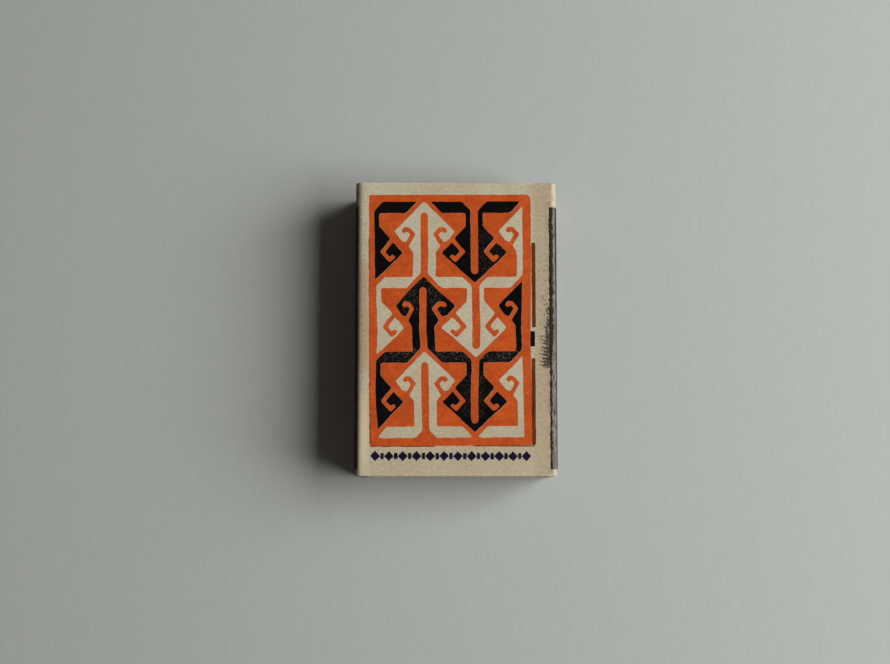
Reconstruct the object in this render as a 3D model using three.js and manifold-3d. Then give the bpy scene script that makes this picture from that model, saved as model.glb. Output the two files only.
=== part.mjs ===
// Sliding matchbox: a folded card sleeve with a striking strip along each side, a folded card
// tray that slides through it, and wooden matches lying in two layers in the tray.
// Millimetres, +Z up. The origin is the middle of the sleeve's underside. X runs across the box
// and Y along it, and the printed panel is on top.

import * as THREE from "three";
import { mergeVertices } from "three/addons/utils/BufferGeometryUtils.js";
import Module from "manifold-3d";

const wasm = await Module();
wasm.setup();

// Sleeve: one strip of card folded round, with its glue flap inside the left wall
const SLEEVE_LENGTH = 53;
const SLEEVE_WIDTH = 36;
const SLEEVE_HEIGHT = 14.5;
const SLEEVE_CARD = 0.45;
const SLEEVE_FOLD_RADIUS = 1;
const GLUE_LINE = 0.05;
const SEAM_EDGE_LIFT = 0.4;
const GLUE_FLAP_DROP = 2.2;

// Tray: floor, side walls and end walls, with the side walls' tabs glued inside the end walls
const TRAY_END_SETBACK = 0.1;
const TRAY_CARD = 0.4;
const TRAY_FOLD_RADIUS = 0.7;
const TRAY_SIDE_CLEARANCE = 0.15;
const TRAY_LIFT = 0.05;
const TRAY_HEADROOM = 0.35;
const TRAY_PUSHED_OUT = 0.4;
const TAB_LENGTH = 12;
const TAB_LIFT = 0.1;
const END_WALL_INSET = 0.1;
const CORNER_SLIT = 0.2;

// Striking strips: a coating on each side wall that laps over the fold onto the top
const STRIKER_THICKNESS = 0.12;
const STRIKER_LAP = 0.45;
const STRIKER_LOWER_EDGE = 1.5;
const STRIKER_FAR_MARGIN = 4.5;
const STRIKER_NEAR_MARGIN = 1.2;
const STRIKER_WORN_DEPTH = 0.3;
const STRIKER_WORN_STEP = 1.1;

// Printed panel on the top, set in from the sleeve's edges and slightly turned
const PRINT_THICKNESS = 0.05;
const PANEL_LEFT_MARGIN = 2.4;
const PANEL_RIGHT_MARGIN = 4.2;
const PANEL_FAR_MARGIN = 2.25;
const PANEL_NEAR_MARGIN = 5.65;
const PANEL_TURN = THREE.MathUtils.degToRad(0.4);

// Field of hooked arrows: its borders inside the panel, and how far the outer arrows' middles
// lie beyond it
const FIELD_LEFT_BORDER = 0.85;
const FIELD_RIGHT_BORDER = 1.65;
const FIELD_TOP_BORDER = 1.22;
const FIELD_BOTTOM_BORDER = 1.4;
const LEFT_ARROW_CUT = 0.64;
const RIGHT_ARROW_CUT = 0.97;
const ROWS = 3;
const MIDDLE_PITCH_SHARE = 0.923;

// One motif, in shares of the column pitch across and of the row pitch along. The outlines run
// from an arrow's tip round its hook to its leg, on one side of its middle.
const UP_EDGE = [[0.566, 0.395], [0.436, 0.522], [0.321, 0.55], [0.31, 0.583], [0.217, 0.671]];
const UP_HOOK = [[0.36, 0.61], [0.212, 0.436], [0.295, 0.369], [0.364, 0.365], [0.401, 0.411]];
const UP_SLOT_END = 0.146;
const DOWN_EDGE = [[0.598, 0.404], [0.431, 0.525], [0.377, 0.588], [0.156, 0.757]];
const DOWN_HOOK = [[0.44, 0.615], [0.21, 0.419], [0.345, 0.311], [0.431, 0.368]];
const DOWN_SLOT_END = 0.113;
const HOOK_LINE = 0.078;
const SLOT_HALF = 0.067;
const TIP_STAGGER = 0.09;
const BAR_BELOW_TIP = 0.009;
const BAR_HEIGHT_SHARE = 0.147;
const NOTCH_GAP = 0.085;
const LAST_NOTCH_HALF = 0.2;

// Thin rules beside the panel, and the small mark between them, from the panel's far edge
const RULE_WIDTH = 0.55;
const RULE_GAP = 0.15;
const UPPER_RULE_START = 8.8;
const UPPER_RULE_END = 24.2;
const MARK_START = 24.9;
const MARK_END = 27.4;
const LOWER_RULE_START = 29.6;

// Matches
const LAYERS = 2;
const SPLINT_THICKNESS = 2;
const HEAD_WIDTH = 2.66;
const HEAD_LENGTH = 3.4;
const SPLINT_IN_HEAD = 2.3;
const PASTE_GAP = 0.02;
const REST_GAP = 0.05;
const HEAD_SIDE_GAP = 0.1;
const HEAD_END_GAP = 1.3;
const TAIL_END_GAP = 2.9;
const LENGTHWISE_SCATTER = 0.5;
const TAIL_CLEARANCE = 0.05;

const FOLD_STEPS = 8;
const ROUND_STEPS = 6;
const CUT_REACH = 1;
const WELD_DISTANCE = 1e-5;

const FINISHES = {
  card: { color: 0xb6a78c, roughness: 0.85 },
  trayCard: { color: 0xc2b59a, roughness: 0.9 },
  striker: { color: 0x5b4a40, roughness: 0.95 },
  orangeInk: { color: 0xb04417, roughness: 0.7 },
  blackInk: { color: 0x11100e, roughness: 0.6 },
  brownInk: { color: 0x65361a, roughness: 0.7 },
  navyInk: { color: 0x1e1313, roughness: 0.6 },
  wood: { color: 0xd9bd8a, roughness: 0.75 },
  headPaste: { color: 0x5a2320, roughness: 0.8 },
};

// Matrices that stand an extruded outline up: its x, its y and its depth on the given axes
const ALONG_X = new THREE.Matrix4().makeBasis(
  new THREE.Vector3(0, 1, 0),
  new THREE.Vector3(0, 0, 1),
  new THREE.Vector3(1, 0, 0),
);
const ALONG_Y = new THREE.Matrix4().makeBasis(
  new THREE.Vector3(1, 0, 0),
  new THREE.Vector3(0, 0, 1),
  new THREE.Vector3(0, -1, 0),
);

const point = (x, y) => new THREE.Vector2(x, y);

// A straight prism of an outline, from one level to another along the outline's own Z
function prism(outline, from, to) {
  const geometry = new THREE.ExtrudeGeometry(new THREE.Shape(outline), {
    depth: to - from,
    bevelEnabled: false,
  });
  return geometry.translate(0, 0, from);
}

// The same along X, from an outline in (y, z), and along Y, from an outline in (x, z)
function prismAlongX(outline, from, to) {
  return prism(outline, from, to).applyMatrix4(ALONG_X);
}

function prismAlongY(outline, from, to) {
  return prism(outline, -to, -from).applyMatrix4(ALONG_Y);
}

// Repeatable scatter between -1 and 1 for one of a row of like things
function scatter(index, salt) {
  const wave = Math.sin(index * 12.9898 + salt * 78.233) * 43758.5453;
  return 2 * (wave - Math.floor(wave)) - 1;
}

function rectangle(left, bottom, right, top) {
  return [point(left, bottom), point(right, bottom), point(right, top), point(left, top)];
}

// Outline of a card strip that follows the corners of its outer face. Each corner is a round
// fold, and the card's inner face lies to the left of the path (side 1) or the right (side -1).
function foldedStrip(corners, side, radius, thickness) {
  const outer = [];
  const inner = [];
  const normalOf = (from, to) => {
    const along = to.clone().sub(from).normalize();
    return point(-along.y * side, along.x * side);
  };
  corners.forEach((corner, index) => {
    const before = corners[index - 1];
    const after = corners[index + 1];
    if (!before || !after) {
      const normal = before ? normalOf(before, corner) : normalOf(corner, after);
      outer.push(corner.clone());
      inner.push(corner.clone().addScaledVector(normal, thickness));
      return;
    }
    const first = normalOf(before, corner);
    const last = normalOf(corner, after);
    const centre = corner.clone().addScaledVector(first, radius).addScaledVector(last, radius);
    for (let step = 0; step <= FOLD_STEPS; step += 1) {
      const angle = ((Math.PI / 2) * step) / FOLD_STEPS;
      const reach = point(0, 0)
        .addScaledVector(first, -Math.cos(angle))
        .addScaledVector(last, -Math.sin(angle));
      outer.push(centre.clone().addScaledVector(reach, radius));
      inner.push(centre.clone().addScaledVector(reach, radius - thickness));
    }
  });
  return [...outer, ...inner.reverse()];
}

// Outline of a line of even width through a few points, with mitred corners and flat ends
function lineOutline(points, width) {
  const left = [];
  const right = [];
  points.forEach((at, index) => {
    const before = points[index - 1] ?? at;
    const after = points[index + 1] ?? at;
    const arriving = at.clone().sub(before).normalize();
    const leaving = after.clone().sub(at).normalize();
    const normals = [arriving, leaving]
      .filter((direction) => direction.length() > 0)
      .map((direction) => point(-direction.y, direction.x));
    const first = normals[0];
    const last = normals[normals.length - 1];
    const mitre = first.clone().add(last).multiplyScalar(width / 2 / (1 + first.dot(last)));
    left.push(at.clone().add(mitre));
    right.push(at.clone().sub(mitre));
  });
  return [...left, ...right.reverse()];
}

// Closed solid through rings of equal size, with flat ends. Each ring is listed anticlockwise
// as seen from the last ring's side.
function loft(rings) {
  const size = rings[0].length;
  const positions = rings.flat().flatMap((at) => [at.x, at.y, at.z]);
  const triangles = [];
  for (let ring = 0; ring < rings.length - 1; ring += 1) {
    for (let i = 0; i < size; i += 1) {
      const low = ring * size + i;
      const lowNext = ring * size + ((i + 1) % size);
      triangles.push(low, lowNext, lowNext + size);
      triangles.push(low, lowNext + size, low + size);
    }
  }
  const top = (rings.length - 1) * size;
  for (let i = 1; i < size - 1; i += 1) {
    triangles.push(0, i + 1, i);
    triangles.push(top, top + i, top + i + 1);
  }
  const geometry = new THREE.BufferGeometry();
  geometry.setAttribute("position", new THREE.Float32BufferAttribute(positions, 3));
  geometry.setIndex(triangles);
  return geometry;
}

function solidOf(geometry) {
  const bare = geometry.clone();
  bare.deleteAttribute("normal");
  bare.deleteAttribute("uv");
  const merged = mergeVertices(bare, WELD_DISTANCE);
  return new wasm.Manifold(
    new wasm.Mesh({
      numProp: 3,
      vertProperties: new Float32Array(merged.getAttribute("position").array),
      triVerts: new Uint32Array(merged.getIndex().array),
    }),
  );
}

function geometryOf(solid) {
  const mesh = solid.getMesh();
  const geometry = new THREE.BufferGeometry();
  geometry.setAttribute("position", new THREE.BufferAttribute(mesh.vertProperties, mesh.numProp));
  geometry.setIndex(new THREE.BufferAttribute(mesh.triVerts, 1));
  geometry.computeVertexNormals();
  return geometry;
}

function joined(solids) {
  return solids.reduce((whole, solid) => whole.add(solid));
}

function meshOf(name, geometry, finish) {
  const material = new THREE.MeshStandardMaterial({ metalness: 0, ...finish });
  const mesh = new THREE.Mesh(geometry, material);
  mesh.name = name;
  return mesh;
}

// Sleeve. The strip starts at the left wall's free lower edge, goes over the top, down the
// right wall and under the box, and ends in the glue flap that stands inside the left wall.
const flapFace = -SLEEVE_WIDTH / 2 + SLEEVE_CARD + GLUE_LINE;
const topInside = SLEEVE_HEIGHT - SLEEVE_CARD;

function sleeve() {
  const half = SLEEVE_WIDTH / 2;
  const corners = [
    point(-half, SEAM_EDGE_LIFT),
    point(-half, SLEEVE_HEIGHT),
    point(half, SLEEVE_HEIGHT),
    point(half, 0),
    point(flapFace, 0),
    point(flapFace, topInside - GLUE_FLAP_DROP),
  ];
  const section = foldedStrip(corners, -1, SLEEVE_FOLD_RADIUS, SLEEVE_CARD);
  return prismAlongY(section, -SLEEVE_LENGTH / 2, SLEEVE_LENGTH / 2);
}

// Striking strip on the right wall (side 1) or the left wall (side -1)
function striker(side) {
  const face = SLEEVE_WIDTH / 2 + STRIKER_THICKNESS;
  const top = SLEEVE_HEIGHT + STRIKER_THICKNESS;
  const lapEnd = SLEEVE_WIDTH / 2 - SLEEVE_FOLD_RADIUS - STRIKER_LAP;
  const corners = [
    point(side * face, STRIKER_LOWER_EDGE),
    point(side * face, top),
    point(side * lapEnd, top),
  ];
  const radius = SLEEVE_FOLD_RADIUS + STRIKER_THICKNESS;
  const section = foldedStrip(corners, side, radius, STRIKER_THICKNESS);
  const near = -SLEEVE_LENGTH / 2 + STRIKER_NEAR_MARGIN;
  const far = SLEEVE_LENGTH / 2 - STRIKER_FAR_MARGIN;
  const worn = wornEdge(side, lapEnd, near, far);
  return geometryOf(solidOf(prismAlongY(section, near, far)).subtract(worn));
}

// What has flaked off the strip's edge on the top: a strip whose outer side waves unevenly
function wornEdge(side, lapEnd, near, far) {
  const steps = Math.ceil((far - near) / STRIKER_WORN_STEP) + 2;
  const outline = [];
  for (let step = 0; step <= steps; step += 1) {
    const depth = STRIKER_WORN_DEPTH * (0.5 + 0.5 * scatter(step, side));
    outline.push(point(side * (lapEnd + depth), near + (step - 1) * STRIKER_WORN_STEP));
  }
  const inside = side * (lapEnd - STRIKER_WORN_DEPTH);
  outline.push(point(inside, outline[steps].y), point(inside, outline[0].y));
  return solidOf(prism(outline, SLEEVE_HEIGHT - CUT_REACH, SLEEVE_HEIGHT + CUT_REACH));
}

// Tray sizes, from the room inside the sleeve
const sleeveInnerLeft = flapFace + SLEEVE_CARD;
const sleeveInnerRight = SLEEVE_WIDTH / 2 - SLEEVE_CARD;
const tray = {
  left: sleeveInnerLeft + TRAY_SIDE_CLEARANCE,
  right: sleeveInnerRight - TRAY_SIDE_CLEARANCE,
  bottom: SLEEVE_CARD + TRAY_LIFT,
  top: topInside - TRAY_HEADROOM,
  end: SLEEVE_LENGTH / 2 - TRAY_END_SETBACK,
};
tray.floor = tray.bottom + TRAY_CARD;
tray.tabFace = tray.end - TRAY_CARD - GLUE_LINE;
tray.innerEnd = tray.tabFace - TRAY_CARD;
tray.sideEnd = tray.tabFace - TRAY_FOLD_RADIUS;

// Floor and side walls, bent up from one strip
function trayTrough() {
  const corners = [
    point(tray.left, tray.top),
    point(tray.left, tray.bottom),
    point(tray.right, tray.bottom),
    point(tray.right, tray.top),
  ];
  const section = foldedStrip(corners, 1, TRAY_FOLD_RADIUS, TRAY_CARD);
  return solidOf(prismAlongY(section, -tray.sideEnd, tray.sideEnd));
}

// End wall with the foot that bends up from the floor, and the narrower neck between the
// corner slits that joins the foot to the floor
function trayEndWall(end) {
  const wall = [
    point(end * (tray.sideEnd + CORNER_SLIT), tray.bottom),
    point(end * tray.end, tray.bottom),
    point(end * tray.end, tray.top),
  ];
  const wallSection = foldedStrip(wall, end, TRAY_FOLD_RADIUS, TRAY_CARD);
  const neckEnds = [end * (tray.sideEnd - CORNER_SLIT), end * (tray.end - TRAY_FOLD_RADIUS)];
  const neckSection = rectangle(
    Math.min(...neckEnds),
    tray.bottom,
    Math.max(...neckEnds),
    tray.floor,
  );
  return joined([
    solidOf(prismAlongX(wallSection, tray.left + END_WALL_INSET, tray.right - END_WALL_INSET)),
    solidOf(
      prismAlongX(neckSection, tray.left + TRAY_FOLD_RADIUS, tray.right - TRAY_FOLD_RADIUS),
    ),
  ]);
}

// Tab at the end of a side wall, bent across inside the end wall
function trayTab(side, end) {
  const wallX = side > 0 ? tray.right : tray.left;
  const corners = [
    point(wallX, end * (tray.sideEnd - CORNER_SLIT)),
    point(wallX, end * tray.tabFace),
    point(wallX - side * TAB_LENGTH, end * tray.tabFace),
  ];
  const section = foldedStrip(corners, side * end, TRAY_FOLD_RADIUS, TRAY_CARD);
  return solidOf(prism(section, tray.bottom + TRAY_FOLD_RADIUS + TAB_LIFT, tray.top));
}

// Outer form of the tray, which rounds the lower corners of the end walls as the folds are
function trayEnvelope() {
  const r = TRAY_FOLD_RADIUS;
  const shape = new THREE.Shape();
  shape.moveTo(tray.left, tray.top);
  shape.lineTo(tray.left, tray.bottom + r);
  shape.absarc(tray.left + r, tray.bottom + r, r, Math.PI, 1.5 * Math.PI, false);
  shape.absarc(tray.right - r, tray.bottom + r, r, -0.5 * Math.PI, 0, false);
  shape.lineTo(tray.right, tray.top);
  const outline = shape.getPoints(FOLD_STEPS / 2);
  return solidOf(prismAlongY(outline, -tray.end - CUT_REACH, tray.end + CUT_REACH));
}

function trayGeometry() {
  const ends = [-1, 1];
  const endWalls = joined(ends.map(trayEndWall)).intersect(trayEnvelope());
  const tabs = ends.flatMap((end) => [trayTab(-1, end), trayTab(1, end)]);
  return geometryOf(joined([trayTrough(), endWalls, ...tabs]));
}

// Printed field, in the panel's own frame: x across, y along, from the panel's middle
const panelHalfWidth = (SLEEVE_WIDTH - PANEL_LEFT_MARGIN - PANEL_RIGHT_MARGIN) / 2;
const panelHalfLength = (SLEEVE_LENGTH - PANEL_NEAR_MARGIN - PANEL_FAR_MARGIN) / 2;
const field = {
  left: -panelHalfWidth + FIELD_LEFT_BORDER,
  right: panelHalfWidth - FIELD_RIGHT_BORDER,
  top: panelHalfLength - FIELD_TOP_BORDER,
  bottom: -panelHalfLength + FIELD_BOTTOM_BORDER,
};
const leftColumn = field.left - LEFT_ARROW_CUT;
const rightColumn = field.right + RIGHT_ARROW_CUT;
const columnPitch = (rightColumn - leftColumn) / (2 + MIDDLE_PITCH_SHARE);
const columns = [leftColumn, leftColumn + columnPitch, rightColumn - columnPitch, rightColumn];
const rowPitch = (field.top - field.bottom) / (ROWS + BAR_HEIGHT_SHARE);
const barTop = (row) => field.top - (row + 1) * rowPitch;
const barBottom = (row) => barTop(row) - BAR_HEIGHT_SHARE * rowPitch;
const upTip = (row) => field.top + (BAR_BELOW_TIP - row) * rowPitch;
const downTip = (row) => upTip(row + 1) - TIP_STAGGER * rowPitch;

// A motif's points at an arrow's tip, to the right (side 1) or left (side -1) of its middle,
// going down from the tip (heading -1) or up from it (heading 1)
function placed(shares, x, tip, side, heading) {
  return shares.map(([across, along]) =>
    point(x + side * across * columnPitch, tip + heading * along * rowPitch),
  );
}

function inkCut(outline) {
  return solidOf(prism(outline, -CUT_REACH, CUT_REACH));
}

// An arrow with its two legs, less the curling line in each hook
function arrow(x, tip, heading, edge, hook, legEnd) {
  const half = (side) => placed(edge, x, tip, side, heading);
  const legX = edge[edge.length - 1][0] * columnPitch;
  const outline = [
    point(x, tip),
    ...half(1),
    point(x + legX, legEnd),
    point(x - legX, legEnd),
    ...half(-1).reverse(),
  ];
  const hooks = [1, -1].map((side) => {
    const line = placed(hook, x, tip, side, heading);
    return inkCut(lineOutline(line, HOOK_LINE * columnPitch));
  });
  return inkCut(outline).subtract(joined(hooks));
}

// The slot up the middle of an arrow, round at the tip's end, and the notch that it opens
// into at the bar, where the next arrow's tip stands
function slotAndNotch(x, tip, heading, slotEnd, notchTip, notchEnd) {
  const half = SLOT_HALF * columnPitch;
  const roundCentre = tip + heading * (slotEnd * rowPitch + half);
  const slot = [point(x + half, notchEnd), point(x + half, roundCentre)];
  for (let step = 1; step < ROUND_STEPS; step += 1) {
    const angle = (Math.PI * step) / ROUND_STEPS;
    const y = roundCentre - heading * half * Math.sin(angle);
    slot.push(point(x + half * Math.cos(angle), y));
  }
  slot.push(point(x - half, roundCentre), point(x - half, notchEnd));
  const opening = Math.abs(notchEnd - notchTip);
  const notch = [point(x, notchTip), point(x + opening, notchEnd), point(x - opening, notchEnd)];
  return joined([inkCut(slot), inkCut(notch)]);
}

// One row's band: the arrows that point up, the bar at their feet, and the arrows of the next
// row that hang from the bar and point down
function band(row) {
  const bar = inkCut(rectangle(field.left, barBottom(row), field.right, barTop(row)));
  const ups = [columns[1], columns[3]];
  const downs = [columns[0], columns[2]];
  const last = row === ROWS - 1;
  const foot = barBottom(row) - CUT_REACH;
  const head = barTop(row) + CUT_REACH;
  const parts = [bar];
  const cuts = [];
  ups.forEach((x) => {
    const notchGap = last
      ? upTip(row) - barBottom(row) - LAST_NOTCH_HALF * columnPitch
      : (1 - NOTCH_GAP) * rowPitch;
    if (row >= 0) {
      parts.push(arrow(x, upTip(row), -1, UP_EDGE, UP_HOOK, barBottom(row)));
    }
    if (!last || x === columns[1]) {
      cuts.push(slotAndNotch(x, upTip(row), -1, UP_SLOT_END, upTip(row) - notchGap, foot));
    }
  });
  downs.forEach((x) => {
    const tip = downTip(row + 1);
    parts.push(arrow(x, tip, 1, DOWN_EDGE, DOWN_HOOK, barTop(row)));
    cuts.push(slotAndNotch(x, tip, 1, DOWN_SLOT_END, tip + (1 - NOTCH_GAP) * rowPitch, head));
  });
  const window = inkCut(rectangle(field.left, field.bottom, field.right, field.top));
  return joined(parts).subtract(joined(cuts)).intersect(window);
}

// Inks on the panel. The light bands are bare card, and the dark ones are black ink; the top
// dark band falls into two islands where the first light arrow stands.
function panelInks() {
  const sheet = (outline) => solidOf(prism(outline, 0, PRINT_THICKNESS));
  const right = panelHalfWidth;
  const far = panelHalfLength;
  const panel = sheet(rectangle(-right, -far, right, far));
  const dark = [band(-1), band(1)];
  const light = [band(0), band(2)];
  const leftPart = inkCut(rectangle(-right, -far, columns[1], far));
  const inks = {
    orange_print: [panel.subtract(joined([...dark, ...light])), FINISHES.orangeInk],
    black_print_top_left: [panel.intersect(dark[0]).intersect(leftPart), FINISHES.blackInk],
    black_print_top_right: [panel.intersect(dark[0]).subtract(leftPart), FINISHES.blackInk],
    black_print_lower: [panel.intersect(dark[1]), FINISHES.blackInk],
  };
  const ruleX = right + RULE_GAP;
  const rule = (start, end) =>
    sheet(rectangle(ruleX, far - end, ruleX + RULE_WIDTH, far - start));
  inks.brown_rule_upper = [rule(UPPER_RULE_START, UPPER_RULE_END), FINISHES.brownInk];
  inks.navy_mark = [rule(MARK_START, MARK_END), FINISHES.navyInk];
  inks.brown_rule_lower = [rule(LOWER_RULE_START, 2 * far), FINISHES.brownInk];
  const group = new THREE.Group();
  group.position.set(
    (PANEL_LEFT_MARGIN - PANEL_RIGHT_MARGIN) / 2,
    (PANEL_NEAR_MARGIN - PANEL_FAR_MARGIN) / 2,
    SLEEVE_HEIGHT,
  );
  group.rotation.z = PANEL_TURN;
  Object.entries(inks).forEach(([name, [solid, finish]]) => {
    group.add(meshOf(name, geometryOf(solid), finish));
  });
  return group;
}

// Match head: a bulb of square section with round corners. Each station gives the distance
// along the head, the half width and the corner radius as shares of the head's own sizes.
const HEAD_STATIONS = [
  [0, 0.82, 0.09],
  [0.12, 0.9, 0.26],
  [0.4, 1, 0.56],
  [0.7, 0.94, 0.45],
  [0.9, 0.64, 0.41],
  [1, 0.26, 0.22],
];

const matchRoom = 2 * tray.innerEnd - HEAD_END_GAP - TAIL_END_GAP;
const matchLength = matchRoom - LENGTHWISE_SCATTER;

function headGeometry() {
  const halfHead = HEAD_WIDTH / 2;
  const cornerSteps = 2;
  const rings = HEAD_STATIONS.map(([along, wide, round]) => {
    const ring = [];
    for (let i = 0; i < 4 * (cornerSteps + 1); i += 1) {
      const quarter = Math.floor(i / (cornerSteps + 1));
      const turn = (quarter + (i % (cornerSteps + 1)) / cornerSteps) * (Math.PI / 2);
      const diagonal = (quarter + 0.5) * (Math.PI / 2);
      const straight = Math.SQRT2 * (wide - round) * halfHead;
      const x = straight * Math.cos(diagonal) + round * halfHead * Math.cos(turn);
      const z = -straight * Math.sin(diagonal) - round * halfHead * Math.sin(turn);
      ring.push(new THREE.Vector3(x, along * HEAD_LENGTH, z));
    }
    return ring;
  });
  const socketHalf = SPLINT_THICKNESS / 2 + PASTE_GAP;
  const socket = prismAlongY(
    rectangle(-socketHalf, -socketHalf, socketHalf, socketHalf),
    -CUT_REACH,
    SPLINT_IN_HEAD + PASTE_GAP,
  );
  return geometryOf(solidOf(loft(rings)).subtract(solidOf(socket)));
}

// Matches in layers, all heads at the far end. Each lies with its head on the floor or on the
// head below, and its tail on the floor or on the tail below.
function matches() {
  const splintLength = matchLength - HEAD_LENGTH + SPLINT_IN_HEAD;
  const halfSplint = SPLINT_THICKNESS / 2;
  const splint = new THREE.BoxGeometry(SPLINT_THICKNESS, splintLength, SPLINT_THICKNESS);
  splint.translate(0, splintLength / 2, 0);
  const head = headGeometry();
  head.translate(0, matchLength - HEAD_LENGTH, 0);
  const innerLeft = tray.left + TRAY_CARD;
  const innerRight = tray.right - TRAY_CARD;
  const perLayer = Math.floor((innerRight - innerLeft) / (HEAD_WIDTH + HEAD_SIDE_GAP));
  const pitch = (innerRight - innerLeft) / perLayer;
  const tailSwing = (pitch - SPLINT_THICKNESS) / 2 - TAIL_CLEARANCE;
  const group = new THREE.Group();
  for (let index = 0; index < perLayer * LAYERS; index += 1) {
    const layer = Math.floor(index / perLayer);
    const x = innerLeft + ((index % perLayer) + 0.5) * pitch;
    const headAt = new THREE.Vector3(
      x,
      tray.innerEnd - HEAD_END_GAP - HEAD_LENGTH / 2 + LENGTHWISE_SCATTER * scatter(index, 1),
      tray.floor + (2 * layer + 1) * (HEAD_WIDTH / 2) + (layer + 1) * REST_GAP,
    );
    const lever = matchLength - HEAD_LENGTH / 2;
    const tailX = x + tailSwing * scatter(index, 2);
    const tailZ = tray.floor + (2 * layer + 1) * halfSplint + (layer + 1) * REST_GAP;
    const tilt = Math.asin((headAt.z - tailZ) / lever);
    const yaw = Math.asin((headAt.x - tailX) / (lever * Math.cos(tilt)));
    const match = new THREE.Group();
    match.position.set(tailX, headAt.y - lever * Math.cos(tilt) * Math.cos(yaw), tailZ);
    match.rotation.set(tilt, 0, -yaw, "ZXY");
    const number = String(index + 1).padStart(2, "0");
    match.add(meshOf(`match_${number}_splint`, splint, FINISHES.wood));
    match.add(meshOf(`match_${number}_head`, head, FINISHES.headPaste));
    group.add(match);
  }
  return group;
}

const matchbox = new THREE.Group();
matchbox.add(meshOf("sleeve", sleeve(), FINISHES.card));
matchbox.add(meshOf("striker_left", striker(-1), FINISHES.striker));
matchbox.add(meshOf("striker_right", striker(1), FINISHES.striker));
matchbox.add(panelInks());

const drawer = new THREE.Group();
drawer.position.y = -TRAY_PUSHED_OUT;
drawer.add(meshOf("tray", trayGeometry(), FINISHES.trayCard));
drawer.add(matches());
matchbox.add(drawer);

export default matchbox;
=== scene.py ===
"""The looks of a sliding matchbox: worn printed card, gritty striking strips and wooden matches.

Every new piece takes its place from the CAD node that it stands for. Sizes are in millimetres
times MM. The frame is the CAD's: origin under the sleeve's middle, X across, Y along, Z up.
"""

import math
import random

import bmesh
import bpy
import numpy as np
from mathutils import Euler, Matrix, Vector, noise
from mathutils.geometry import delaunay_2d_cdt


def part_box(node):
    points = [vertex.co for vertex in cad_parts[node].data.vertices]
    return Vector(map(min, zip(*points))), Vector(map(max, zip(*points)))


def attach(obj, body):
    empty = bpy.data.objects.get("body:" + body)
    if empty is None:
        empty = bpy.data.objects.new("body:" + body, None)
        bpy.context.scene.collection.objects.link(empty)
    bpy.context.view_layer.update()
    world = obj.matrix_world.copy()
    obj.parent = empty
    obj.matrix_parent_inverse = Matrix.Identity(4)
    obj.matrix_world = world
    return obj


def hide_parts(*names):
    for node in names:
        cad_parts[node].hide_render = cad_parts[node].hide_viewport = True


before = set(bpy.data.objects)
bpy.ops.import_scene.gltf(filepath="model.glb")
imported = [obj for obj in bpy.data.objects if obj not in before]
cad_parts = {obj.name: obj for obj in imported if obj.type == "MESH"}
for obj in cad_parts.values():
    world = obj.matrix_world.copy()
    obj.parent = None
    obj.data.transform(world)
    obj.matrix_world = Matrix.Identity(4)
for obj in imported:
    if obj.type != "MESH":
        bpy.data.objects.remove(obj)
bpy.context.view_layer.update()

MM = 0.001
MICRON = 0.001 * MM
TOUCHING = 0.01 * MM

# Sleeve: the same folded strip as the CAD node, worked out from that node's box
CARD = 0.45 * MM
FOLD_RADIUS = 1 * MM
GLUE_LINE = 0.05 * MM
SEAM_EDGE_LIFT = 0.4 * MM
GLUE_FLAP_DROP = 2.2 * MM
TOP_SINK = 0.1 * MM
SIDE_SINK = 0.05 * MM
TOP_WAVES = 0.03 * MM
FAR_FLARE = 0.2 * MM
FLAT_STEP = 0.9 * MM
FOLD_STEPS = 10
STATIONS_ALONG = 96
CUT_FUZZ = 0.04 * MM
CORNER_CRUSH = 0.09 * MM
CORNER_REACH = 0.9 * MM
CRUSH_SPREAD = 1.6 * MM
END_CRUSH = 0.045 * MM
END_PULL = 0.3 * MM

# Striking strips: the steps of their mesh, and how much has worn off their edges. The left
# strip ends where the fold has turned by an angle in degrees.
STRIP_STEP = 0.4 * MM
STRIP_STATIONS = 150
STRIP_INSET = 0.01 * MM
STRIP_LAP_WEAR = 0.38 * MM
FAR_WEAR_REACH = 9 * MM
STRIP_FINE_WEAR = 0.16 * MM
STRIP_FOOT_WEAR = 0.25 * MM
STRIP_FOOT = 1 * MM
STRIP_END_FADE = 0.25 * MM
LEFT_LAP_TURN = 62
LEFT_LAP_WAVER = 5
LEFT_LAP_ROUNDING = 20
LEFT_LAP_OVER = 0.05
STRIP_GRIT = 0.018 * MM

# Printing
INK_STEP = 0.22 * MM
INK_CELL = 0.9 * MM
INK_WOBBLE = 0.08 * MM
INK_FINE_WOBBLE = 0.05 * MM
PRINT_STRETCH = 1.008
INK_ROUNDING = 2

# How far the hand-cut print strays across the box from its even layout, in millimetres, at
# places across it and at levels along it
SLIP_PLACES = (-15.6, -14.7, -11, -7, -3, 0, 4, 8, 12, 14)
SLIP_LEVELS = (-19.5, -12, -4.5, 0, 7, 12, 24)
SLIPS = (
    (0, 0.9, 0.6, 0.28, 0, -0.05, -0.09, -0.03, -0.06, -0.42),
    (0, 0.34, 0.2, 0.08, 0, -0.05, -0.09, -0.02, -0.19, -0.42),
    (0, 0.5, 0.44, 0, -0.05, 0, 0.21, -0.05, -0.24, -0.47),
    (0, 0.67, 0.53, -0.24, -0.33, 0.08, 0.34, 0.03, -0.36, -0.45),
    (0, 0.44, 0.33, -0.19, -0.22, 0.08, 0.23, 0.05, -0.17, -0.3),
    (0, 0.27, 0.22, 0.05, 0, 0.04, 0.13, 0.18, 0.02, -0.2),
    (0, 0.1, 0, 0, 0, 0.04, 0.13, 0.18, 0.05, -0.16),
)
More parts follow.
